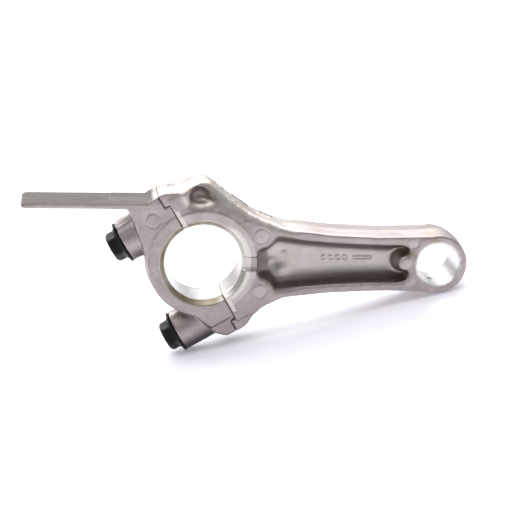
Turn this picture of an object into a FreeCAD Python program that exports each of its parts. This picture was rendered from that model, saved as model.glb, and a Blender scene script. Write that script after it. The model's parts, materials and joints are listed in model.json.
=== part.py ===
import FreeCAD, Part
import math
import os

from FreeCAD import Vector

# Die-cast aluminium connecting rod of a 390 cc class single-cylinder engine.
# Drawn in millimetres in the rod's own datum: X runs from the crankpin centre to
# the piston-pin centre, Y along both bores, Z up in the plane of the rod.
# At the end the whole assembly is turned about the crankpin axis so that it
# stands on edge on a level floor, touching it at the lower bolt flange and at
# the underside of the small end.

# Main dimensions
CENTRES = 110.0          # crankpin centre to piston-pin centre
CRANK_R = 18.0           # crankpin bore radius
PISTON_R = 10.0          # piston-pin bore radius
HALF_W = 12.0            # half of the width across the thrust faces
FACE_Y = 11.6            # half width over the as-cast faces
DRAFT = 0.07             # mould draft of the outside walls of the rod, run to rise
CAP_DRAFT = 0.12         # the same for the cap
BLOCK_Y = 11.4           # half width of the upper split block
LOWER_BLOCK_Y = 8.8      # half width of the lower split block
BORE_CHAMFER = 2.2       # chamfer of the crankpin bore
PIN_CHAMFER = 0.6        # chamfer of the piston-pin bore
RING_R = 24.7            # thrust land of the rod half
CAP_R = 25.4             # outside of the cap half
SMALL_R = 13.8           # outside of the small end

# Oblique split and its stepped register
SPLIT_ANGLE = 30.5       # bolt axis against the centre line, degrees
SPLIT_GAP = 0.04         # fit between the two split faces
STEP_S = 2.6             # depth of the step towards the bolt heads
STEP_O = 31.5            # distance of the step from the bore centre
STEP_FIT = 0.03          # clearance across the step

# Bolts
UPPER_O = 24.5           # upper bolt axis to bore centre
LOWER_O = -25.9          # lower bolt axis to bore centre
SEAT_S = 27.4            # seats of the bolt heads to the split
BOLT_R = 4.0             # M8 major radius
TAP_R = 4.03             # bore of the tapped length, cut plain at full thread size
CLEAR_R = 4.3            # clearance hole in the cap
BOLT_END = 13.0          # bolt tip beyond the split
HOLE_END = 14.5          # bottom of the blind hole beyond the split
FLANGE_R = 9.9
FLANGE_T = 1.2
HEAD_AF = 12.6           # hexagon across flats
HEAD_H = 6.8             # seat to end face
BOSS_R = 9.7

# Dipper blade
BLADE_Z = 25.3           # underside
BLADE_T = 2.6
BLADE_TIP = -83.0
BLADE_HALF = 11.5

# Beam pocket
WEB_HALF = 2.6           # half thickness of the web left between the pockets
POCKET_CORNER = 6.6      # large fillets along the foot of the rails
PAD_PROUD = 0.15         # ejector pads stand this far off the cast face
ROD_PADS = [(26.4, 13.3, 3.3), (26.4, -13.0, 3.2), (94.6, 0.4, 3.0), (97.6, 10.4, 2.4), (97.4, -8.6, 2.4)]

RECESS_DEPTH = 4.4       # recess in the shoulder
OIL_SLOT = 6.4           # oil slot across the thrust face
SLOT_DEPTH = 2.0
OIL_HOLE_R = 1.5

ANGLE = math.radians(SPLIT_ANGLE)
ALONG = Vector(math.cos(ANGLE), 0, math.sin(ANGLE))
ACROSS = Vector(-math.sin(ANGLE), 0, math.cos(ANGLE))
Y_AXIS = Vector(0, 1, 0)


def at(s, o, y=0.0):
    """Point s along the bolts and o across them, in datum coordinates."""
    return ALONG * s + ACROSS * o + Vector(0, y, 0)


def xz(x, z, y=0.0):
    return Vector(x, y, z)


def prism(wire, half):
    """Solid from a closed wire lying at y = 0, spread to y = -half .. half."""
    face = Part.Face(wire)
    face.translate(Vector(0, -half, 0))
    return face.extrude(Vector(0, 2 * half, 0))


def cast(wire, half, draft=DRAFT):
    """Like prism, with the walls drafted both ways from the parting plane.

    The wire gives the outline at the face, so the solid is fuller at y = 0.
    """
    middle = wire.makeOffset2D(half * draft)
    shells = []
    for side in (-1, 1):
        face = wire.copy()
        face.translate(Vector(0, side * half, 0))
        shells.append(Part.makeLoft([middle, face], True, True))
    return shells[0].fuse(shells[1]).removeSplitter()


def cast_disc(radius, half, x=0.0, draft=DRAFT):
    """Round boss along Y, drafted both ways from the parting plane."""
    cones = []
    for side in (-1, 1):
        centre = Vector(x, 0, 0)
        cones.append(Part.makeCone(radius + half * draft, radius, half, centre, Y_AXIS * side))
    return cones[0].fuse(cones[1])


def polygon(points):
    return Part.makePolygon(points + [points[0]])


def rounded(points, radii):
    """Closed wire of straight lines with each corner rounded by its radius."""
    count = len(points)
    starts = []
    ends = []
    mids = []
    for i in range(count):
        corner = points[i]
        to_prev = (points[i - 1] - corner).normalize()
        to_next = (points[(i + 1) % count] - corner).normalize()
        half = to_prev.getAngle(to_next) / 2
        reach = radii[i] / math.tan(half)
        bisector = (to_prev + to_next).normalize()
        centre = corner + bisector * (radii[i] / math.sin(half))
        starts.append(corner + to_prev * reach)
        ends.append(corner + to_next * reach)
        mids.append(centre - bisector * radii[i])
    edges = []
    for i in range(count):
        edges.append(Part.Arc(starts[i], mids[i], ends[i]).toShape())
        nxt = (i + 1) % count
        if (starts[nxt] - ends[i]).Length > 1e-6:
            edges.append(Part.makeLine(ends[i], starts[nxt]))
    return Part.Wire(edges)


def disc(radius, half, x=0.0, z=0.0):
    return Part.makeCylinder(radius, 2 * half, Vector(x, -half, z), Y_AXIS)


def round_bar(radius, s0, s1, o):
    """Cylinder about a bolt axis from s0 to s1."""
    return Part.makeCylinder(radius, s1 - s0, at(s0, o), ALONG)


def beam_half_height(x):
    """Half height of the beam: a waist at 82 mm flaring to the big end."""
    big = 1.12 * math.exp((38.0 - x) / 24.0) * 3.6
    small = 0.0017 * max(0.0, x - 82.0) ** 2
    return 12.15 + big + small


def beam():
    """Closed outline of the beam, its long edges eased into one another."""
    stations = (12, 24, 38, 60, 84, 105.5)
    top = [xz(x, beam_half_height(x)) for x in stations]
    bottom = [xz(p.x, -p.z) for p in reversed(top)]
    easing = [0.4, 30, 60, 120, 150, 0.4]
    return rounded(top + bottom, easing + easing[::-1])


def shoulder_upper():
    """Outline of the cast shoulder that carries the upper bolt thread."""
    points = [at(0, 34), at(19.6, 34), xz(9.2, 31.6), xz(23, 22.0), xz(37, 16.6), xz(36, 0), at(0, 0)]
    return rounded(points, [0.4, 6.5, 14, 22, 0.4, 0.4, 0.4])


def shoulder_lower():
    """Outline of the fillet from the lower bolt block into the beam."""
    points = [at(0, 0), xz(36, 0), xz(37, -16.6), xz(28.4, -20.6), xz(24.2, -24.6), at(7, -32.5), at(0, -32.5)]
    return rounded(points, [0.4, 0.4, 0.4, 12, 2, 1, 0.4])


def flange_block(side):
    """Outline of the block that straddles the split outside each bolt."""
    if side > 0:
        outline = [(-12, 26), (-12.2, 33.5), (-7.6, 37.8), (0.8, 37.8), (8.4, 33.8), (8.4, 26)]
    else:
        outline = [(-12, -26), (-12.2, -33), (-7.6, -37.2), (2.2, -37.4), (9.6, -33.4), (10, -26)]
    return rounded([at(s, o) for s, o in outline], [0.4, 1.2, 2, 2, 1.2, 0.4])


def cap_region(gap):
    """Everything on the cap side of the stepped split, grown or shrunk by gap."""
    edge = -SPLIT_GAP / 2 + gap
    step = STEP_O - STEP_FIT / 2 + gap
    points = [
        at(edge, -step),
        at(edge, step),
        at(edge - STEP_S, step),
        at(edge - STEP_S, 90),
        at(-140, 90),
        at(-140, -90),
        at(edge - STEP_S, -90),
        at(edge - STEP_S, -step),
    ]
    return prism(polygon(points), 40)


def bore_cut(radius, half, chamfer, x):
    """Bore along Y with a conical chamfer at each face."""
    cut = disc(radius, half + 5, x)
    for side in (-1, 1):
        start = Vector(x, side * (half - chamfer), 0)
        length = chamfer + 1.0
        cone = Part.makeCone(radius, radius + length, length, start, Y_AXIS * side)
        cut = cut.fuse(cone)
    return cut


def pocket_section(x, width, depth, corner):
    """U shaped section of the beam pocket in the plane x."""
    y0 = FACE_Y + 2.0
    y1 = FACE_Y - depth
    slope = 0.07 * (y0 - y1)
    low = width - slope
    points = [
        Vector(x, y0, -width),
        Vector(x, y1 + corner, -low),
        Vector(x, y1 + corner * 0.29, -low + corner * 0.29),
        Vector(x, y1, -low + corner),
        Vector(x, y1, low - corner),
        Vector(x, y1 + corner * 0.29, low - corner * 0.29),
        Vector(x, y1 + corner, low),
        Vector(x, y0, width),
    ]
    return Part.Wire([
        Part.makeLine(points[0], points[1]),
        Part.Arc(points[1], points[2], points[3]).toShape(),
        Part.makeLine(points[3], points[4]),
        Part.Arc(points[4], points[5], points[6]).toShape(),
        Part.makeLine(points[6], points[7]),
        Part.makeLine(points[7], points[0]),
    ])


def beam_pocket():
    """Trough between the rails of the beam, kept clear of the ejector pads."""
    depth = FACE_Y - WEB_HALF
    sections = []
    for x in (25.4, 26.4, 28.2, 31, 35, 40, 46, 53, 61, 70, 80, 88, 91, 93, 94.8, 96.2):
        rail = 3.6 + 0.9 * math.exp((25.0 - x) / 9.0) + 0.06 * max(0.0, x - 91.0) ** 2
        width = beam_half_height(x) - rail
        entry = min(1.0, 0.45 + (x - 25.4) / 9.0)
        corner = POCKET_CORNER - 0.35 * max(0.0, x - 88.0)
        sections.append(pocket_section(x, width, depth * entry, corner * entry))
    trough = Part.makeLoft(sections, True, True)
    mounds = [(26.4, 13.3, 8.9, 6.8), (26.4, -13.0, 8.6, 6.4), (94.6, 0.4, 6.3, 3.4)]
    for x, z, foot, crown in mounds:
        boss = Part.makeCone(foot, crown, FACE_Y, Vector(x, 0, z), Y_AXIS)
        cap = Part.makeCylinder(crown, 4, Vector(x, FACE_Y, z), Y_AXIS)
        trough = trough.cut(boss.fuse(cap))
    dimple = Part.makeSphere(5.2, xz(33.6, -2.0, WEB_HALF - 1.5 + 5.2))
    swell = Part.makeSphere(5.0, xz(38.2, -5.6, WEB_HALF + 1.5 - 5.0))
    return trough.fuse(dimple).cut(swell)


def edge_section(x, z, turn, radius):
    """Waste outside a rounded edge, across the outline at (x, z).

    turn is the direction of the outward normal, in degrees from X.
    """
    out = Vector(math.cos(math.radians(turn)), 0, math.sin(math.radians(turn)))
    wall = xz(x, z) + out * (DRAFT * radius)
    depth = FACE_Y - radius
    mid = radius * (1 - math.sqrt(0.5))
    points = [
        wall + Vector(0, depth, 0),
        wall - out * mid + Vector(0, FACE_Y - mid, 0),
        wall - out * radius + Vector(0, FACE_Y, 0),
        wall - out * radius + Vector(0, FACE_Y + 3, 0),
        wall + out * 6 + Vector(0, FACE_Y + 3, 0),
        wall + out * 6 + Vector(0, depth, 0),
    ]
    edges = [Part.Arc(points[0], points[1], points[2]).toShape()]
    for i in range(2, 6):
        edges.append(Part.makeLine(points[i], points[(i + 1) % 6]))
    return Part.Wire(edges)


def shoulder_easing():
    """Waste outside the large rounding that runs from the shoulder into the beam."""
    path = [
        (-3.5, 37.4, 118, 3.0),
        (0.5, 37.6, 88, 4.4),
        (4.2, 35.2, 62, 5.6),
        (9.0, 31.4, 52, 6.0),
        (14.5, 27.2, 54, 5.6),
        (20.0, 23.7, 59, 4.8),
        (26.0, 20.7, 65, 3.6),
        (32.0, 18.4, 71, 2.4),
        (38.0, 16.6, 76, 1.2),
    ]
    return Part.makeLoft([edge_section(*station) for station in path], True, True)


def recess():
    """Tapered recess that lightens the shoulder beside the upper bolt."""
    mouth = rounded(
        [xz(-8.4, 26.8), xz(-6.2, 36.4), xz(-0.6, 37.4), xz(8.4, 27.8)], [2.2, 2.0, 2.4, 1.6]
    )
    floor = rounded(
        [xz(-5.3, 29.0), xz(-4.4, 33.0), xz(-2.8, 33.4), xz(0.8, 29.8)], [0.8, 0.6, 0.7, 0.6]
    )
    mouth.translate(Vector(0, FACE_Y + 0.01, 0))
    floor.translate(Vector(0, FACE_Y - RECESS_DEPTH, 0))
    return Part.makeLoft([floor, mouth], True, True)


def split_bevel(side):
    """Bevel on the rod's thrust land along the split, above or below the bore."""
    section = Part.makePolygon([
        at(-1.0, side * 15.0, HALF_W - 1.1),
        at(2.2, side * 15.0, HALF_W),
        at(2.2, side * 15.0, HALF_W + 1),
        at(-1.0, side * 15.0, HALF_W + 1),
        at(-1.0, side * 15.0, HALF_W - 1.1),
    ])
    return Part.Face(section).extrude(ACROSS * side * 13.0)


def both_sides(shape):
    other = shape.mirror(Vector(0, 0, 0), Y_AXIS)
    return [shape, other]


def rod_body():
    body = disc(RING_R, HALF_W)
    body = body.fuse([
        cast(beam(), FACE_Y),
        cast_disc(SMALL_R, FACE_Y + 0.2, CENTRES),
        cast(shoulder_upper(), FACE_Y),
        cast(shoulder_lower(), FACE_Y),
        cast(flange_block(1), BLOCK_Y),
        cast(flange_block(-1), LOWER_BLOCK_Y),
        round_bar(BOSS_R, -STEP_S, 8.0, UPPER_O),
        round_bar(BOSS_R, -STEP_S, 6.0, LOWER_O),
    ])
    for waste in (recess(), beam_pocket(), shoulder_easing(), split_bevel(1), split_bevel(-1)):
        for cut in both_sides(waste):
            body = body.cut(cut)
    for x, z, radius in ROD_PADS:
        body = body.fuse(disc(radius, FACE_Y + PAD_PROUD, x, z))
    slot = Part.makeBox(12.0, 4.0, OIL_SLOT, Vector(16.0, HALF_W - SLOT_DEPTH, -OIL_SLOT / 2))
    for cut in both_sides(slot):
        body = body.cut(cut)
    body = body.cut(cap_region(SPLIT_GAP))
    body = body.cut(bore_cut(CRANK_R, HALF_W, BORE_CHAMFER, 0.0))
    body = body.cut(bore_cut(PISTON_R, FACE_Y + 0.2, PIN_CHAMFER, CENTRES))
    for o in (LOWER_O, UPPER_O):
        body = body.cut(round_bar(TAP_R, -5.0, HOLE_END, o))
    oil = Part.makeCylinder(OIL_HOLE_R, 20, Vector(CENTRES - 0.8, 0, -5), Vector(0, 0, -1))
    body = body.cut(oil)
    return body.removeSplitter()


def cap_web():
    """Outline of the cast web between the ring and the root of the dipper."""
    top = BLADE_Z + BLADE_T
    points = [
        at(0, 0),
        at(0, 33),
        at(-6, 36.5),
        xz(-27, top),
        xz(-42, top),
        xz(-42, BLADE_Z),
        xz(-34.4, BLADE_Z),
        xz(-28.3, 8.5),
        xz(-24.6, -2),
    ]
    return rounded(points, [0.4, 2, 3, 2, 0.2, 0.2, 2.6, 30, 12])


def cap_apron():
    """Outline of the flat face between the ring and the lower bolt block."""
    points = [at(0, 0), at(-20, -10), at(-12.0, -29.2), at(0, -29.2)]
    return rounded(points, [0.4, 1, 0.8, 0.4])


def boss_rib():
    """Outline of the flat-sided rib along the outside of the upper bolt boss."""
    corners = [at(-26.8, 25), at(-26.8, 33.4), at(-10, 33.4), at(-10, 25)]
    return rounded(corners, [0.4, 1.5, 0.4, 0.4])


def dipper_blade():
    """Long flat blade that throws oil, cast in one with the cap."""
    plan = Part.makeBox(60.0, 2 * BLADE_HALF, BLADE_T, Vector(BLADE_TIP, -BLADE_HALF, BLADE_Z))
    corners = []
    rims = []
    for edge in plan.Edges:
        mid = edge.CenterOfMass
        if abs(mid.x - BLADE_TIP) < 0.01 and abs(abs(mid.y) - BLADE_HALF) < 0.01:
            corners.append(edge)
    blade = plan.makeFillet(2.6, corners)
    for edge in blade.Edges:
        box = edge.BoundBox
        if box.ZLength < 0.01 and box.XMin < BLADE_TIP + 59:
            rims.append(edge)
    return blade.makeFillet(0.7, rims)


def bearing_cap():
    body = cast_disc(CAP_R, FACE_Y + 0.2, 0.0, CAP_DRAFT)
    body = body.fuse([
        cast(cap_web(), FACE_Y - 0.1, CAP_DRAFT),
        cast(cap_apron(), FACE_Y + 0.2),
        cast(flange_block(1), BLOCK_Y),
        cast(flange_block(-1), LOWER_BLOCK_Y),
        round_bar(BOSS_R, -SEAT_S, 0.0, UPPER_O),
        round_bar(BOSS_R, -SEAT_S, 0.0, LOWER_O),
        prism(boss_rib(), 7.8),
        disc(3.1, FACE_Y + PAD_PROUD - 0.1, -23.5, 20.3),
        dipper_blade(),
    ])
    body = body.common(cap_region(0.0))
    body = body.cut(bore_cut(CRANK_R, FACE_Y + 0.2, BORE_CHAMFER, 0.0))
    for o in (LOWER_O, UPPER_O):
        body = body.cut(round_bar(CLEAR_R, -SEAT_S - 1.0, 1.0, o))
    return body.removeSplitter()


def bolt(o):
    """Hexagon flange bolt: shank, flange with a conical top, domed hexagon."""
    shank = round_bar(BOLT_R, -SEAT_S, BOLT_END, o)
    tip = [edge for edge in shank.Edges if (edge.CenterOfMass - at(BOLT_END, o)).Length < 0.01]
    shank = shank.makeChamfer(0.8, tip)
    rim = round_bar(FLANGE_R, -SEAT_S - FLANGE_T, -SEAT_S, o)
    cone = Part.makeCone(FLANGE_R - 0.3, 5.6, 1.9, at(-SEAT_S - FLANGE_T, o), -ALONG)
    corner_r = HEAD_AF / 2 / math.cos(math.pi / 6)
    ring = []
    for i in range(6):
        turn = math.radians(60 * i + 12)
        side = ACROSS * math.cos(turn) + Y_AXIS * math.sin(turn)
        ring.append(at(-SEAT_S, o) + side * corner_r)
    hexagon = Part.Face(polygon(ring)).extrude(-ALONG * HEAD_H)
    dome = Part.makeCone(
        corner_r + HEAD_H * 0.5 - 0.9, corner_r - 0.9, HEAD_H, at(-SEAT_S, o), -ALONG
    )
    return shank.fuse([rim, cone, hexagon.common(dome)]).removeSplitter()


def rest_angle():
    """Turn about the crankpin axis that stands the rod on a level floor."""
    rim = at(-SEAT_S - FLANGE_T, LOWER_O - FLANGE_R)
    reach = math.hypot(CENTRES - rim.x, rim.z)
    slope = math.atan2(-rim.z, CENTRES - rim.x)
    eye = SMALL_R + (FACE_Y + 0.2) * DRAFT
    return math.degrees(slope - math.asin(eye / reach))


os.makedirs("parts", exist_ok=True)
REST = rest_angle()
NODES = {
    "rod_body": rod_body(),
    "bearing_cap": bearing_cap(),
    "bolt_upper": bolt(UPPER_O),
    "bolt_lower": bolt(LOWER_O),
}
for name, shape in NODES.items():
    shape.rotate(Vector(0, 0, 0), Y_AXIS, REST)
    shape.exportStep("parts/" + name + ".step")
    box = shape.BoundBox
    print(name, shape.isValid(), len(shape.Solids), round(shape.Volume), [
        round(v, 2) for v in (box.XMin, box.XMax, box.YMin, box.YMax, box.ZMin, box.ZMax)
    ])
print("rest angle", round(REST, 3))
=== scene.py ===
import json
import math

import bmesh
import bpy
import numpy as np
from mathutils import Matrix, Vector


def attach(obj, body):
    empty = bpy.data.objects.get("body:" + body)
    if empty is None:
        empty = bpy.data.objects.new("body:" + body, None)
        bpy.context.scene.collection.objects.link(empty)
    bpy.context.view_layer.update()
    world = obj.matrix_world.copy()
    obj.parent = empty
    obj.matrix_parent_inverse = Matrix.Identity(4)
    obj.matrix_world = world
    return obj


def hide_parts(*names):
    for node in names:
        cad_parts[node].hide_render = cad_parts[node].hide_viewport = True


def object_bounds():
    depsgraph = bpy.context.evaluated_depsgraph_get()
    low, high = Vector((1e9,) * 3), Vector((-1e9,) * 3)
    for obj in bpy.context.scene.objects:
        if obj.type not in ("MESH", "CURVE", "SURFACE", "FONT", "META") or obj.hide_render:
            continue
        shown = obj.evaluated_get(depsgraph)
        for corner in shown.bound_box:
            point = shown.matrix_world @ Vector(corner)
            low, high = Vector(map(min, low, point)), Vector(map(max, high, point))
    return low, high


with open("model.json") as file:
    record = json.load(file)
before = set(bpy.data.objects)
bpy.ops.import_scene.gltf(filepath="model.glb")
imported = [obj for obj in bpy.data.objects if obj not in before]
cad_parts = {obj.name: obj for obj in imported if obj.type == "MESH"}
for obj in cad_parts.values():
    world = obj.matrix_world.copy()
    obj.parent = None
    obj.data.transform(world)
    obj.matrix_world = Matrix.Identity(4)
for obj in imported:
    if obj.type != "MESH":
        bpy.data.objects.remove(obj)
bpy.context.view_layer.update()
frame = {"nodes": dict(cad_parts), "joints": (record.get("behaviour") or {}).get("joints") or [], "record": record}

MM = 0.001
MOUNTS = {m["name"]: m for m in frame["record"]["mounts"]}
JOINTS = {j["name"]: j for j in frame["joints"]}
PIN = MOUNTS["piston_pin_bore"]["pos_m"]
TILT = math.atan2(-PIN[2], PIN[0])      # how far the centre line drops towards the small end
CENTRES = math.hypot(PIN[0], PIN[2]) / MM
OUT = Vector(JOINTS["cap_lift"]["axis"]).normalized()   # from the split towards the bolt heads
VOXEL = 0.52


# ---------------------------------------------------------------- the rod's own datum
def to_datum(co):
    """Row-frame metres to the rod's datum in millimetres: X along the centre line."""
    c, s = math.cos(TILT), math.sin(TILT)
    out = np.empty_like(co)
    out[:, 0] = co[:, 0] * c - co[:, 2] * s
    out[:, 1] = co[:, 1]
    out[:, 2] = co[:, 0] * s + co[:, 2] * c
    return out / MM


def from_datum(p):
    """The way back from to_datum."""
    c, s = math.cos(TILT), math.sin(TILT)
    out = np.empty_like(p)
    out[:, 0] = p[:, 0] * c + p[:, 2] * s
    out[:, 1] = p[:, 1]
    out[:, 2] = -p[:, 0] * s + p[:, 2] * c
    return out * MM


SPLIT = math.atan2(-OUT.z, -OUT.x) + TILT    # bolt axis against the centre line


def along_across(p):
    """Distance along the bolts and across them, of datum points."""
    s = p[:, 0] * math.cos(SPLIT) + p[:, 2] * math.sin(SPLIT)
    o = -p[:, 0] * math.sin(SPLIT) + p[:, 2] * math.cos(SPLIT)
    return s, o


# ---------------------------------------------------------------- mesh helpers
def get_co(mesh):
    co = np.empty(len(mesh.vertices) * 3)
    mesh.vertices.foreach_get("co", co)
    return co.reshape(-1, 3)


def get_normals(mesh):
    no = np.empty(len(mesh.vertices) * 3)
    mesh.vertices.foreach_get("normal", no)
    return no.reshape(-1, 3)


def set_co(mesh, co):
    mesh.vertices.foreach_set("co", co.ravel())
    mesh.update()


def smoothstep(lo, hi, x):
    t = np.clip((x - lo) / (hi - lo), 0.0, 1.0)
    return t * t * (3.0 - 2.0 * t)


def wave_noise(p, scale, seed, octaves=3):
    """Smooth seeded noise from sums of sines in random directions, about -1 to 1."""
    rng = np.random.default_rng(seed)
    total = np.zeros(len(p))
    amplitude = 1.0
    norm = 0.0
    for _ in range(octaves):
        for _ in range(6):
            direction = rng.normal(size=3)
            direction /= np.linalg.norm(direction)
            phase = rng.uniform(0, 2 * math.pi)
            wobble = rng.uniform(0.7, 1.4)
            total += amplitude * np.sin((p @ direction) * wobble * 2 * math.pi / scale + phase)
        norm += amplitude * 2.2
        amplitude *= 0.55
        scale *= 0.48
    return total / norm


def remeshed(node, name):
    """Even, dense copy of a CAD node, ready to be worked like a casting."""
    source = frame["nodes"][node]
    bm = bmesh.new()
    bm.from_mesh(source.data)
    bmesh.ops.remove_doubles(bm, verts=bm.verts, dist=1e-6)
    mesh = bpy.data.meshes.new(name)
    bm.to_mesh(mesh)
    bm.free()
    work = bpy.data.objects.new(name, mesh)
    bpy.context.scene.collection.objects.link(work)
    voxels = work.modifiers.new("voxels", "REMESH")
    voxels.mode = "VOXEL"
    voxels.voxel_size = VOXEL * MM
    voxels.adaptivity = 0.0
    graph = bpy.context.evaluated_depsgraph_get()
    dense = bpy.data.meshes.new_from_object(work.evaluated_get(graph))
    work.modifiers.clear()
    work.data = dense
    dense.name = name
    dense.materials.clear()
    return work


def relax(mesh, p, weight, rounds):
    """Averages each vertex with its neighbours, by its weight."""
    edges = np.empty(len(mesh.edges) * 2, int)
    mesh.edges.foreach_get("vertices", edges)
    a, b = edges[0::2], edges[1::2]
    degree = np.bincount(a, minlength=len(p)) + np.bincount(b, minlength=len(p))
    degree = np.maximum(degree, 1)[:, None]
    for _ in range(rounds):
        total = np.zeros_like(p)
        for k in range(3):
            total[:, k] = np.bincount(a, p[b, k], len(p)) + np.bincount(b, p[a, k], len(p))
        p = p + (total / degree - p) * weight[:, None]
    return p


WALL_REACH = 0.4         # how near a bore's wall a point has to be to be put on it
CONE_REACH = 0.45        # the same for the bore's chamfer


def snap_bore(p, x0, radius, half, chamfer):
    """Puts points near a bore's wall or its chamfers exactly on them. Returns the new points and a mask."""
    dx, dz = p[:, 0] - x0, p[:, 2]
    r = np.hypot(dx, dz)
    y = np.abs(p[:, 1])
    wall = (np.abs(r - radius) < WALL_REACH) & (y < half - chamfer + 0.1)
    lean = (r - radius) - (y - (half - chamfer))
    cone = (np.abs(lean) < CONE_REACH) & (y > half - chamfer) & (r < radius + chamfer + 0.25)
    cone &= ~wall
    new_r = np.where(wall, radius, r)
    shift = np.where(cone, lean / 2, 0.0)
    new_r = new_r - shift
    new_y = np.clip(y + shift, 0, half)
    scale = new_r / np.maximum(r, 1e-6)
    q = p.copy()
    q[:, 0] = x0 + dx * scale
    q[:, 2] = dz * scale
    q[:, 1] = np.where(cone, np.sign(p[:, 1]) * new_y, p[:, 1])
    return q, wall | cone


# ---------------------------------------------------------------- the castings
CRANK_R = MOUNTS["crankpin_bore"]["dims"]["r_mm"]
PIN_R = MOUNTS["piston_pin_bore"]["dims"]["r_mm"]
BORE_CHAMFER = 2.2
PIN_CHAMFER = 0.6
FACE_Y = 11.6            # half width over the as-cast faces
EYE_HALF = FACE_Y + 0.2  # half width of the small end and of the cap
HALF_W = 12.0            # half width over the thrust land
LAND_R = 24.7            # outer radius of the thrust land
WEB_HALF = 2.6           # half thickness of the floor between the two pockets

ROD_PADS = [(26.4, 13.3, 3.3), (26.4, -13.0, 3.2), (94.6, 0.4, 3.0), (97.6, 10.4, 2.4), (97.4, -8.6, 2.4)]
CAP_PADS = [(-23.5, 20.3, 3.1)]
PAD_GROOVE = 0.34        # depth and width of the fine ring round an ejector pad

MARK_DOTS = [(57.0, 1.0), (60.4, 1.0), (63.8, 1.0), (67.2, 1.0)]
MARK_BARS = [(75.5, 1.0, 4.6, 0.7), (38.6, 3.4, 1.5, 0.6)]    # centre and half sizes
MARK_HEIGHT = 0.42

FLASH_RUNS = [(-23.5, -20.5), (-17.5, -13.5), (3.5, 6.0), (7.5, 9.5), (12.0, 21.0), (25.0, 33.0)]
FLASH_HEIGHT = 0.62
CAP_FLASH_WIDTH = 1.25
BEAM_FLASH_WIDTH = 0.65

RAIL_START = 55.2        # the tool witness along both rails
RAIL_END = 84.0
RAIL_STEP = 0.13
RECESS_DENT = (-1.5, 32.5, 5.2, 4.2)    # deepest part of the shoulder recess: centre and reach
DENT_DEPTH = 1.3
DIMPLE_SHADE = (33.6, -2.0)    # centre of a spot of painted shade over a hollow in the foot of the pocket


def ring(p, x, z, radius, width):
    """Bell-shaped ring about (x, z), 1 at its crest."""
    d = np.hypot(p[:, 0] - x, p[:, 2] - z) - radius
    return np.exp(-(d / width) ** 2)


def spot(p, x, z, reach):
    """Bell-shaped spot about (x, z), 1 at its centre."""
    return ring(p, x, z, 0.0, reach)


def oval(p, x, z, reach_x, reach_z):
    """Bell-shaped oval about (x, z), 1 at its centre."""
    return np.exp(-((p[:, 0] - x) / reach_x) ** 2 - ((p[:, 2] - z) / reach_z) ** 2)


def blob(p, x, z, radius, soft):
    """Flat disc about (x, z) with a soft edge."""
    return 1.0 - smoothstep(radius - soft, radius + soft, np.hypot(p[:, 0] - x, p[:, 2] - z))


def bar(p, x, z, half_x, half_z, soft):
    """Flat rectangle about (x, z) with a soft edge."""
    reach = np.maximum(np.abs(p[:, 0] - x) - half_x, np.abs(p[:, 2] - z) - half_z)
    return 1.0 - smoothstep(-soft, soft, reach)


def write_attribute(mesh, name, values):
    layer = mesh.attributes.new(name, "FLOAT", "POINT")
    layer.data.foreach_set("value", np.clip(values, 0.0, 1.0).astype(np.float32))


def beam_half_height(x):
    """Half height of the beam at x, which flares towards the big end."""
    return 12.15 + 4.03 * np.exp((38.0 - x) / 24.0) + 0.0017 * np.maximum(0.0, x - 82.0) ** 2


# ---- shape
def generic_marks(p, normal):
    """Raised row of dots and short bars on the floor of the front pocket."""
    floor = (normal[:, 1] < -0.8) & (p[:, 1] < 0) & (p[:, 1] > -WEB_HALF - 0.8)
    marks = np.zeros(len(p))
    for x, z in MARK_DOTS:
        marks = np.maximum(marks, blob(p, x, z, 1.15, 0.3))
    for x, z, half_x, half_z in MARK_BARS:
        marks = np.maximum(marks, bar(p, x, z, half_x, half_z, 0.3))
    return marks * floor


def detail(p, normal, is_rod):
    """Cast-surface details as an outward offset in mm."""
    face = (np.abs(normal[:, 1]) > 0.8) & (np.abs(p[:, 1]) > FACE_Y - 0.35)
    lift = 0.035 * wave_noise(p, 2.6, 5, 3) + 0.05 * wave_noise(p, 9.0, 6, 2)
    for x, z, radius in (ROD_PADS if is_rod else CAP_PADS):
        lift -= np.where(face, PAD_GROOVE * ring(p, x, z, radius + 0.25, PAD_GROOVE), 0.0)
    if is_rod:
        lift += MARK_HEIGHT * generic_marks(p, normal)
        raised = smoothstep(RAIL_START, RAIL_START + 0.7, p[:, 0])
        raised = raised - smoothstep(RAIL_END - 0.7, RAIL_END, p[:, 0])
        lift += np.where(face & (np.abs(p[:, 2]) < 16), RAIL_STEP * raised, 0.0)
        dent = oval(p, *RECESS_DENT) * (np.abs(p[:, 1]) > 5)
        lift -= DENT_DEPTH * dent * smoothstep(0.3, 0.7, np.abs(normal[:, 1]))
    return lift


def flash_mask(p, normal):
    """Broken ridge of mould flash along the parting plane of the outside walls; the same mask paints the ridge
    dark as its shade.
    """
    wall = smoothstep(0.75, 0.9, np.hypot(normal[:, 0], normal[:, 2]))
    upper = smoothstep(0.2, 0.5, normal[:, 2]) * (p[:, 2] > 10)
    run = np.zeros(len(p))
    for start, end in FLASH_RUNS:
        stretch = smoothstep(start, start + 0.8, p[:, 0]) - smoothstep(end - 0.8, end, p[:, 0])
        run = np.maximum(run, stretch)
    ragged = smoothstep(-0.9, -0.2, wave_noise(p, 3.0, 21, 2))
    width = np.where(p[:, 0] < 0, CAP_FLASH_WIDTH, BEAM_FLASH_WIDTH)
    return wall * upper * run * ragged * np.exp(-(p[:, 1] / width) ** 2)


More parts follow.
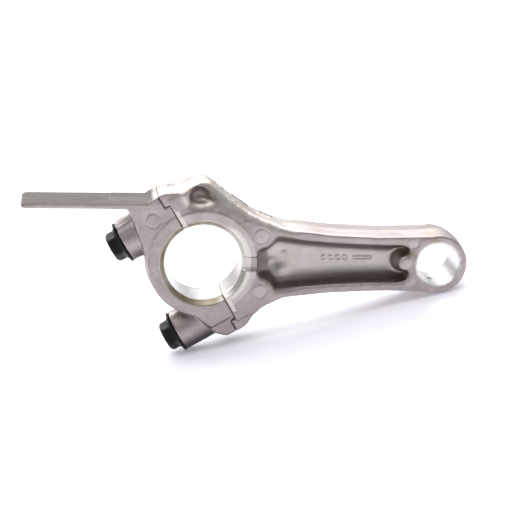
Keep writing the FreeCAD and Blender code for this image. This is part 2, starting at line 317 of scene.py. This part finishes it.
def soft_zones(p, r_big):
    """Pocket, shoulder recess and the shoulder's run into the beam, where edges are well rounded."""
    half = beam_half_height(p[:, 0])
    pocket = 1.0 - smoothstep(half - 2.8, half - 1.6, np.abs(p[:, 2]))
    pocket *= smoothstep(25.0, 25.6, r_big) * (1.0 - smoothstep(97.0, 98.5, p[:, 0])) * (p[:, 0] > 20)
    recess = smoothstep(25.2, 26.0, r_big) * (np.abs(p[:, 0] + 0.5) < 12) * (p[:, 2] > 20)
    recess = recess * smoothstep(4.5, 6.0, np.abs(p[:, 1]))
    blend = smoothstep(29.0, 33.0, p[:, 0]) * (1.0 - smoothstep(42.0, 47.0, p[:, 0])) * (p[:, 2] > 14.0)
    return np.maximum(np.maximum(pocket, recess), blend)


def loose_mask(p, s, r_big, r_small):
    """How freely each point may be smoothed: not in the bores, a little on the split and the blade."""
    loose = np.minimum(smoothstep(20.4, 20.9, r_big), smoothstep(10.9, 11.3, r_small))
    split = (s > -2.9) & (s < 0.25)
    loose = np.where(split, loose * 0.2, loose)
    blade = (p[:, 0] < -30) & (p[:, 2] > 24.5)
    return np.where(blade, loose * 0.3, loose)


def softened(mesh, p, loose, r_big):
    """Rounds the remeshed edges: lightly all over, more in the soft zones, most near the big end."""
    p = relax(mesh, p, 0.5 * loose, 3)
    soft = soft_zones(p, r_big) * loose
    p = relax(mesh, p, 0.5 * soft, 20)
    return relax(mesh, p, 0.5 * soft * (1.0 - smoothstep(40.0, 46.0, p[:, 0])), 30)


def bored(p, r_big, is_rod):
    """Puts the bores exactly in place. Returns the points and a mask of machined skin."""
    p, bore = snap_bore(p, 0.0, CRANK_R, HALF_W if is_rod else EYE_HALF, BORE_CHAMFER)
    machined = bore.astype(float)
    if is_rod:
        p, eye = snap_bore(p, CENTRES, PIN_R, EYE_HALF, PIN_CHAMFER)
        land = (np.abs(p[:, 1]) > HALF_W - 0.12) & (r_big < LAND_R + 0.4)
        machined = np.maximum(np.maximum(machined, eye), 0.25 * land)
    return p, machined


# ---- surface masks
def stain_mask(p, normal, r_big, is_rod):
    """Brown-olive oil and heat stains: round the bores and in the corners of the pocket."""
    rim = 1.0 - smoothstep(19.6, 21.4, r_big)
    stain = rim * (np.abs(p[:, 1]) > 9.0) * (1.0 - 0.6 * smoothstep(6.0, 12.0, p[:, 0]))
    if not is_rod:
        return stain
    cloud = 0.5 + 0.5 * wave_noise(p, 12.0, 31, 3)
    arc = smoothstep(-12, 0, p[:, 0]) * (1.0 - smoothstep(14, 26, p[:, 0])) * smoothstep(8, 18, p[:, 2])
    pin_crescent = ring(p, 94.6, 0.4, 5.6, 1.6) * smoothstep(-8, 4, p[:, 2])
    pocket_lobes = spot(p, 32.5, -8.5, 3.6) + spot(p, 27.0, 0.5, 2.6)
    crown = spot(p, 108.0, 12.0, 2.6)
    shoulder = spot(p, -4.0, 34.0, 6.0) * cloud
    marks = generic_marks(p, normal)
    mark_edges = np.clip(4.0 * marks * (1.0 - marks), 0.0, 1.0)
    for strength, patch in (
        (0.6, arc * cloud), (0.8, pin_crescent), (0.55, pocket_lobes),
        (0.6, crown), (0.55, shoulder), (0.9, mark_edges),
    ):
        stain = np.maximum(stain, strength * patch)
    return stain


def painted_highlight_mask(p, normal, s, o, r_big):
    """Painted highlights: a lighter tone beside the big bore, on the split bevels, the upward-facing shoulder
    rounding, the boss rib, the pads and the pocket floor.
    """
    facing = np.abs(normal[:, 1])
    front = facing > 0.6
    beside = smoothstep(17.5, 18.2, r_big) * (1.0 - smoothstep(21.8, 22.6, r_big))
    beside = beside * smoothstep(9.0, 13.0, p[:, 0]) * (1.0 - smoothstep(16.0, 18.5, np.abs(p[:, 2])))
    bevel = (s > -0.1) & (s < 2.3) & (np.abs(o) > 17.5) & (np.abs(o) < 27.5) & front
    rounding = smoothstep(0.12, 0.45, normal[:, 2]) * smoothstep(25.2, 26.0, r_big) * (p[:, 2] > 12)
    rounding = rounding * (1.0 - smoothstep(36.0, 60.0, p[:, 0]))
    rib = np.exp(-((s - 7.2) / 1.3) ** 2) * smoothstep(26.0, 28.0, o) * (np.abs(p[:, 1]) > 9)
    pads = np.zeros(len(p))
    for x, z, radius in ROD_PADS:
        pads = np.maximum(pads, blob(p, x, z, radius, 0.3))
    floor = (np.abs(p[:, 1]) < WEB_HALF + 1.2) & (r_big > 25) & (p[:, 0] > 20) & (p[:, 0] < 97)
    painted_highlight = np.zeros(len(p))
    for strength, patch in (
        (0.8, beside), (0.85, bevel), (0.22, pads * front),
        (0.5, floor * smoothstep(0.8, 0.97, facing)), (0.5, rounding), (0.8, rib),
    ):
        painted_highlight = np.maximum(painted_highlight, strength * patch)
    return painted_highlight


def painted_shade_mask(p, normal, r_big):
    """Painted shade: a darker tone in the foot of the pocket, under its top rail, over a hollow in its foot and in
    the shoulder recess.
    """
    out_y = np.abs(p[:, 1])
    facing = np.abs(normal[:, 1])
    half = beam_half_height(p[:, 0])
    inside = (np.abs(p[:, 2]) < half - 1.5) & (out_y < FACE_Y - 0.5)
    inside = inside & (r_big > 25.0) & (p[:, 0] > 20) & (p[:, 0] < 98)
    foot = 0.95 * smoothstep(0.25, 0.75, normal[:, 2]) * (0.65 + 0.35 * smoothstep(0, 6, -p[:, 2]))
    ceiling = 0.5 * smoothstep(0.3, 0.8, -normal[:, 2])
    pocket = np.where(inside, np.maximum(foot, ceiling), 0.0)
    dimple_shade = spot(p, *DIMPLE_SHADE, 2.6) * (out_y < 4)
    recess = smoothstep(0.5, 2.6, FACE_Y - out_y) * (facing > 0.35)
    recess = recess * (np.abs(p[:, 0] + 1.0) < 9) * (np.abs(p[:, 2] - 31.5) < 6.5)
    recess = recess * (1.0 - smoothstep(0.35, 0.7, normal[:, 0]))
    dent = oval(p, -1.5, 32.0, 5.6, 4.6) * (out_y > 5) * smoothstep(0.5, 0.9, facing)
    recess = np.maximum(recess, 0.7 * dent) * (r_big > 25.5)
    return np.maximum(np.maximum(pocket, 0.6 * dimple_shade), 0.75 * recess)


def underside_shade_mask(p, normal, r_big):
    """Painted shade: a darker tone on downward-facing surfaces under the bosses and under the big end."""
    under = smoothstep(0.05, 0.75, -normal[:, 2]) * smoothstep(24.0, 25.5, r_big)
    return 0.9 * under * (1.0 - smoothstep(20.0, 46.0, p[:, 0])) * (p[:, 0] > -60) * (p[:, 2] < 8)


def split_shade_mask(p, normal, s, o):
    """Painted shade: dark lines in the creases of the stepped split, and a dark tone on downward-facing surfaces
    under the lower bolt boss.
    """
    step = np.exp(-((s + 2.6) / 0.3) ** 2) * (np.abs(o) > 31.0)
    riser = np.exp(-((np.abs(o) - 31.5) / 0.3) ** 2) * (s > -2.9) * (s < 0.3)
    lines = np.maximum(step, riser) * (np.abs(normal[:, 1]) > 0.4)
    across = np.array([-math.sin(SPLIT), 0.0, math.cos(SPLIT)])
    lower_boss_underside_shade = smoothstep(0.05, 0.85, -normal @ across) * (o < -26) * (s < -2) * (s > -30)
    return np.maximum(0.75 * lines, 0.85 * lower_boss_underside_shade)


def blade_top_shade_mask(p, normal):
    """Painted shade: a darker tone on the top of the dipper blade."""
    top = smoothstep(0.55, 0.85, normal[:, 2])
    return top * (p[:, 2] > 26.9) * (1.0 - smoothstep(-24.5, -22.5, p[:, 0]))


def cast_piece(node, name, is_rod):
    """Visible casting for a CAD node, with its surface masks as point attributes."""
    piece = remeshed(node, name)
    mesh = piece.data
    p = to_datum(get_co(mesh))
    r_big = np.hypot(p[:, 0], p[:, 2])
    r_small = np.hypot(p[:, 0] - CENTRES, p[:, 2])
    s, o = along_across(p)
    loose = loose_mask(p, s, r_big, r_small)
    p = softened(mesh, p, loose, r_big)
    p, machined = bored(p, r_big, is_rod)
    set_co(mesh, from_datum(p))
    normal = to_datum(get_normals(mesh)) * MM
    free = loose * (1.0 - machined)
    flash_and_shade = flash_mask(p, normal) * free
    lift = detail(p, normal, is_rod) * free + FLASH_HEIGHT * flash_and_shade
    p = p + normal * lift[:, None]
    limit = HALF_W if is_rod else EYE_HALF
    p[:, 1] = np.clip(p[:, 1], -limit, limit)
    set_co(mesh, from_datum(p))
    # Painted highlight: a lighter tone on upward-facing cap surfaces beyond the upper bolt.
    painted_highlight = 0.5 * smoothstep(0.5, 0.8, normal[:, 2]) * (o > 30) * (s > -8)
    # Painted shade: a darker tone under the bosses and the big end.
    painted_shade = underside_shade_mask(p, normal, r_big)
    # Painted shade on the top of the dipper blade; the rod has none.
    blade = blade_top_shade_mask(p, normal)
    if is_rod:
        # On the rod: its own painted highlights and more painted shade, and no blade.
        painted_highlight = np.maximum(painted_highlight, painted_highlight_mask(p, normal, s, o, r_big))
        painted_shade = np.maximum(painted_shade, painted_shade_mask(p, normal, r_big))
        blade = np.zeros(len(p))
    write_attribute(mesh, "machined", machined)
    write_attribute(mesh, "stain", stain_mask(p, normal, np.hypot(p[:, 0], p[:, 2]), is_rod))
    # Painted shade: near black along the flash ridge, in the creases of the stepped split and under the lower bolt
    # boss.
    write_attribute(mesh, "flash_and_shade", np.maximum(flash_and_shade, split_shade_mask(p, normal, s, o)))
    write_attribute(mesh, "blade", blade)
    write_attribute(mesh, "painted_highlight", painted_highlight)
    write_attribute(mesh, "painted_shade", painted_shade)
    for poly in mesh.polygons:
        poly.use_smooth = True
    return piece


rod = cast_piece("rod_body", "rod_casting", True)
cap = cast_piece("bearing_cap", "cap_casting", False)
for piece, node, body in ((rod, "rod_body", "rod"), (cap, "bearing_cap", "cap")):
    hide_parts(node)
    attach(piece, body)


# ---------------------------------------------------------------- the bolts
BOLTS = {"bolt_upper": 24.5, "bolt_lower": -25.9}    # node and its offset across the split
SEAT_S = 27.4            # seat of the flange from the split
TIP_S = 13.0             # tip of the shank beyond the split
THREAD_PITCH = 1.25
THREAD_R = 3.99
THREAD_DEPTH = 0.62
THREAD_START = -9.0
RIM_R = 9.28             # flange rim: centre of its rounding, and the rounding
RIM_ROUND = 0.6
HEX_FLAT = 6.3           # middle of the head to a flat
HEX_CORNER = 7.22        # and to a corner
HEX_SHARP = 60.0         # the higher, the sharper the corners
HEX_TURN = math.radians(42)
DOME_START = 4.9         # height of the head over the seat where its corners start to fall away
SEGMENTS = 72
CREASE = math.radians(38)  # edges bent further than this stay sharp
RINGS_PER_PITCH = 10


def hexagon_radius(theta, corner):
    """Hexagon with slightly rounded corners."""
    sector = (theta - HEX_TURN + math.pi / 6) % (math.pi / 3) - math.pi / 6
    flat = HEX_FLAT / np.cos(sector)
    return (flat ** -HEX_SHARP + corner ** -HEX_SHARP) ** (-1.0 / HEX_SHARP)


def thread_radius(s, theta):
    """Right-hand thread that fades out at both ends."""
    phase = (s / THREAD_PITCH + theta / (2 * math.pi)) % 1.0
    tooth = np.clip(np.abs(phase - 0.5) * 2.6 - 0.15, 0.0, 1.0)
    fade = smoothstep(THREAD_START - 1.5, THREAD_START, s)
    fade = fade * (1.0 - 0.6 * smoothstep(TIP_S - 1.4, TIP_S - 0.2, s))
    return THREAD_R - THREAD_DEPTH * (1.0 - tooth) * fade


def bolt_rings(theta):
    """Rings from the tip of the shank to the middle of the head: s and a radius for each angle."""
    one = np.ones_like(theta)
    rings = [(TIP_S, 0.02 * one), (TIP_S, 1.6 * one), (TIP_S, 2.9 * one)]
    for s in np.arange(TIP_S - 0.35, THREAD_START - 2.0, -THREAD_PITCH / RINGS_PER_PITCH):
        limit = 3.1 + (TIP_S - s) * 0.9
        rings.append((s, np.minimum(thread_radius(np.full_like(theta, s), theta), limit)))
    for s in (-14.0, -18.0, -22.0, -26.6):
        rings.append((s, THREAD_R * one))
    seat = -SEAT_S
    rings += [(seat + 0.25, 4.1 * one), (seat, 4.35 * one), (seat, 6.5 * one), (seat, 9.2 * one)]
    for turn in range(7):
        a = math.pi * turn / 6
        rim = (RIM_R + RIM_ROUND * math.sin(a)) * one
        rings.append((seat - RIM_ROUND + RIM_ROUND * math.cos(a), rim))
    rings += [(seat - 1.3, 8.7 * one), (seat - 1.75, 7.9 * one), (seat - 2.3, 7.35 * one)]
    hexagon = hexagon_radius(theta, HEX_CORNER)
    rings.append((seat - 2.5, hexagon + 0.12))
    rings.append((seat - 2.75, hexagon + 0.03))
    for t in (3.0, 3.6, 4.2, 4.8, 5.2, 5.6, 5.9, 6.15, 6.35, 6.5, 6.62):
        dome = HEX_CORNER - 1.3 * max(0.0, (t - DOME_START) / 1.75) ** 2
        rings.append((seat - t, hexagon_radius(theta, min(HEX_CORNER, dome))))
    rings += [(seat - 6.72, 5.6 * one), (seat - 6.78, 5.35 * one), (seat - 6.78, 5.0 * one)]
    rings += [(seat - 6.62, 4.8 * one), (seat - 6.6, 4.4 * one), (seat - 6.6, 3.0 * one)]
    rings += [(seat - 6.58, 1.5 * one), (seat - 6.58, 0.02 * one)]
    return rings


def flange_bolt(name, offset):
    """Threaded bolt as one closed grid of rings, capped at both ends."""
    theta = np.linspace(0, 2 * math.pi, SEGMENTS, endpoint=False)
    rings = bolt_rings(theta)
    rows = len(rings)
    s = np.concatenate([np.full(SEGMENTS, ring[0]) for ring in rings])
    r = np.concatenate([ring[1] for ring in rings])
    angle = np.tile(theta, rows)
    o = offset + r * np.cos(angle)
    p = np.empty((len(s), 3))
    p[:, 0] = s * math.cos(SPLIT) - o * math.sin(SPLIT)
    p[:, 1] = r * np.sin(angle)
    p[:, 2] = s * math.sin(SPLIT) + o * math.cos(SPLIT)
    faces = []
    for i in range(rows - 1):
        for j in range(SEGMENTS):
            k = (j + 1) % SEGMENTS
            low, high = i * SEGMENTS, (i + 1) * SEGMENTS
            faces.append((low + j, low + k, high + k, high + j))
    faces.append(tuple(range(SEGMENTS - 1, -1, -1)))
    faces.append(tuple((rows - 1) * SEGMENTS + j for j in range(SEGMENTS)))
    mesh = bpy.data.meshes.new(name)
    mesh.from_pydata(from_datum(p).tolist(), [], faces)
    bm = bmesh.new()
    bm.from_mesh(mesh)
    bmesh.ops.recalc_face_normals(bm, faces=bm.faces)
    for edge in bm.edges:
        if len(edge.link_faces) == 2 and edge.calc_face_angle() > CREASE:
            edge.smooth = False
    bm.to_mesh(mesh)
    bm.free()
    for poly in mesh.polygons:
        poly.use_smooth = True
    piece = bpy.data.objects.new(name, mesh)
    bpy.context.scene.collection.objects.link(piece)
    return piece


bolts = []
for node, offset in BOLTS.items():
    piece = flange_bolt(node + "_threaded", offset)
    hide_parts(node)
    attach(piece, node)
    bolts.append(piece)


# ---------------------------------------------------------------- materials
class Shader:
    """A material under construction, with short names for its nodes."""

    def __init__(self, name):
        self.material = bpy.data.materials.new(name)
        self.material.use_nodes = True
        self.nodes = self.material.node_tree.nodes
        self.links = self.material.node_tree.links
        self.nodes.clear()
        out = self.nodes.new("ShaderNodeOutputMaterial")
        self.surface = self.nodes.new("ShaderNodeBsdfPrincipled")
        self.links.new(self.surface.outputs[0], out.inputs[0])

    def feed(self, socket, value):
        if hasattr(value, "is_output"):
            self.links.new(value, socket)
        else:
            socket.default_value = value

    def attribute(self, name):
        node = self.nodes.new("ShaderNodeAttribute")
        node.attribute_name = name
        return node.outputs["Fac"]

    def noise(self, scale, levels, rough=0.55, stretch=None):
        node = self.nodes.new("ShaderNodeTexNoise")
        node.inputs["Scale"].default_value = scale
        node.inputs["Detail"].default_value = levels
        node.inputs["Roughness"].default_value = rough
        place = self.nodes.new("ShaderNodeTexCoord")
        source = place.outputs["Object"]
        if stretch:
            mapping = self.nodes.new("ShaderNodeMapping")
            mapping.inputs["Scale"].default_value = stretch
            self.links.new(source, mapping.inputs["Vector"])
            source = mapping.outputs[0]
        self.links.new(source, node.inputs["Vector"])
        return node.outputs[0]

    def spread(self, value, lo, hi, out_lo, out_hi):
        node = self.nodes.new("ShaderNodeMapRange")
        self.feed(node.inputs["Value"], value)
        node.inputs["From Min"].default_value = lo
        node.inputs["From Max"].default_value = hi
        node.inputs["To Min"].default_value = out_lo
        node.inputs["To Max"].default_value = out_hi
        return node.outputs[0]

    def times(self, a, b):
        node = self.nodes.new("ShaderNodeMath")
        node.operation = "MULTIPLY"
        self.feed(node.inputs[0], a)
        self.feed(node.inputs[1], b)
        return node.outputs[0]

    def blend(self, factor, a, b):
        node = self.nodes.new("ShaderNodeMix")
        node.data_type = "RGBA"
        self.feed(node.inputs["Factor"], factor)
        self.feed(node.inputs[6], a)
        self.feed(node.inputs[7], b)
        return node.outputs[2]

    def lerp(self, factor, a, b):
        node = self.nodes.new("ShaderNodeMix")
        node.data_type = "FLOAT"
        self.feed(node.inputs["Factor"], factor)
        self.feed(node.inputs[2], a)
        self.feed(node.inputs[3], b)
        return node.outputs[0]

    def bump(self, height, distance, strength=1.0):
        node = self.nodes.new("ShaderNodeBump")
        node.inputs["Strength"].default_value = strength
        node.inputs["Distance"].default_value = distance
        self.feed(node.inputs["Height"], height)
        self.links.new(node.outputs[0], self.surface.inputs["Normal"])

    def finish(self, colour, roughness, metallic):
        self.feed(self.surface.inputs["Base Color"], colour)
        self.feed(self.surface.inputs["Roughness"], roughness)
        self.feed(self.surface.inputs["Metallic"], metallic)
        return self.material


def cast_aluminium():
    """Die-cast skin, under layers for painted shade, machining, stains, painted highlights, the blade top's
    painted shade, and flash and split lines painted dark as shade.
    """
    m = Shader("cast_aluminium")
    cloud = m.spread(m.noise(90, 5, 0.6), 0.35, 0.65, 0, 1)
    grain = m.spread(m.noise(900, 4, 0.7), 0.3, 0.7, 0, 1)
    colour = m.blend(cloud, (0.40, 0.345, 0.335, 1), (0.50, 0.445, 0.43, 1))
    colour = m.blend(m.times(grain, 0.35), colour, (0.33, 0.285, 0.27, 1))
    # Painted shade: a dark tone in the pocket, the shoulder recess and under the bosses.
    colour = m.blend(m.times(m.attribute("painted_shade"), 0.9), colour, (0.135, 0.112, 0.104, 1))
    colour = m.blend(m.attribute("machined"), colour, (0.82, 0.80, 0.78, 1))
    stain = m.times(m.attribute("stain"), m.spread(cloud, 0, 1, 0.72, 1.0))
    colour = m.blend(stain, colour, (0.26, 0.215, 0.14, 1))
    # Painted highlight: a light tone on the bevels, rounding, rib, pads and pocket floor.
    colour = m.blend(m.times(m.attribute("painted_highlight"), 0.85), colour, (0.80, 0.765, 0.69, 1))
    # Painted shade: a dark, clouded tone on the top of the dipper blade.
    skin = m.spread(m.noise(260, 4, 0.6, (0.15, 1, 1)), 0.35, 0.65, 0, 1)
    skin = m.blend(skin, (0.12, 0.105, 0.092, 1), (0.175, 0.157, 0.14, 1))
    colour = m.blend(m.attribute("blade"), colour, skin)
    # Painted shade: near black along the flash ridge, in the split's creases and under the lower bolt boss.
    colour = m.blend(m.times(m.attribute("flash_and_shade"), 0.9), colour, (0.03, 0.024, 0.02, 1))
    rough = m.spread(grain, 0, 1, 0.36, 0.50)
    rough = m.lerp(m.attribute("machined"), rough, 0.30)
    rough = m.lerp(m.attribute("blade"), rough, 0.42)
    m.feed(m.surface.inputs["Specular IOR Level"], m.lerp(m.attribute("blade"), 0.5, 0.12))
    m.bump(grain, 0.00004, 0.6)
    return m.finish(colour, rough, m.lerp(m.attribute("blade"), 0.92, 0.0))


def black_oxide_steel():
    """Nearly black, satin and faintly clouded."""
    m = Shader("black_oxide_steel")
    cloud = m.spread(m.noise(400, 4, 0.6), 0.35, 0.7, 0, 1)
    fine = m.noise(2500, 3, 0.6)
    colour = m.blend(cloud, (0.004, 0.004, 0.004, 1), (0.011, 0.0105, 0.010, 1))
    rough = m.spread(cloud, 0, 1, 0.30, 0.5)
    m.surface.inputs["Specular IOR Level"].default_value = 0.22
    m.bump(fine, 0.00002, 0.5)
    return m.finish(colour, rough, 0.0)


aluminium = cast_aluminium()
steel = black_oxide_steel()
for piece in (rod, cap):
    piece.data.materials.append(aluminium)
for piece in bolts:
    piece.data.materials.append(steel)


def white_floor():
    m = Shader("white_floor")
    colour = m.blend(m.spread(m.noise(3, 2), 0.4, 0.6, 0, 1), (0.86, 0.85, 0.91, 1), (0.87, 0.86, 0.92, 1))
    m.surface.inputs["Emission Color"].default_value = (0.96, 0.94, 1, 1)
    m.surface.inputs["Emission Strength"].default_value = 0.25
    return m.finish(colour, 0.3, 0.0)


# ---------------------------------------------------------------- stage
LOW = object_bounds()[0].z
REACH = 6.0              # half width of the floor
floor_mesh = bpy.data.meshes.new("floor")
corners = [(-REACH, -REACH, LOW), (REACH, -REACH, LOW), (REACH, REACH, LOW), (-REACH, REACH, LOW)]
floor_mesh.from_pydata(corners, [], [(0, 1, 2, 3)])
floor = bpy.data.objects.new("floor", floor_mesh)
bpy.context.scene.collection.objects.link(floor)
floor_mesh.materials.append(white_floor())

world = bpy.data.worlds.new("studio")
bpy.context.scene.world = world
world.use_nodes = True
background = world.node_tree.nodes["Background"]
background.inputs[0].default_value = (0.94, 0.94, 1, 1)
background.inputs[1].default_value = 0.4


def softbox(name, place, target, size, power):
    """Rectangular area light that faces its target."""
    light = bpy.data.lights.new(name, "AREA")
    light.shape = "RECTANGLE"
    light.size, light.size_y = size
    light.energy = power
    ob = bpy.data.objects.new(name, light)
    ob.location = place
    ob.rotation_euler = (Vector(target) - Vector(place)).to_track_quat("-Z", "Y").to_euler()
    bpy.context.scene.collection.objects.link(ob)


softbox("back", (0.1, 1.9, 1.6), (0.03, 0, 0), (4.4, 1.3), 78)
softbox("overhead", (0.1, -0.1, 2.2), (0.03, 0, 0), (3.2, 2.2), 40)

# ---------------------------------------------------------------- camera
YAW = math.radians(7.0)  # the camera stands in front, turned a little towards the big end
ELEVATION = math.radians(15.5)
ROLL = math.radians(2.1117)
LENS = 105.46875
SENSOR = 36.0
CAMERA_PLACE = Vector((-56.979, -672.141, 188.362)) * MM    # in the rod's own datum

to_eye = Vector((
    -math.sin(YAW) * math.cos(ELEVATION),
    -math.cos(YAW) * math.cos(ELEVATION),
    math.sin(ELEVATION),
))
right = (-to_eye).cross(Vector((0, 0, 1))).normalized()
up = right.cross(-to_eye)
rolled_right = right * math.cos(ROLL) + up * math.sin(ROLL)
rolled_up = up * math.cos(ROLL) - right * math.sin(ROLL)
pose = Matrix((rolled_right, rolled_up, to_eye)).transposed().to_4x4()
pose.translation = CAMERA_PLACE
camera_data = bpy.data.cameras.new("camera")
camera_data.lens = LENS
camera_data.sensor_width = SENSOR
camera = bpy.data.objects.new("camera", camera_data)
camera.matrix_world = Matrix.Rotation(TILT, 4, "Y") @ pose
bpy.context.scene.collection.objects.link(camera)
bpy.context.scene.camera = camera
bpy.context.scene.view_settings.view_transform = "Standard"
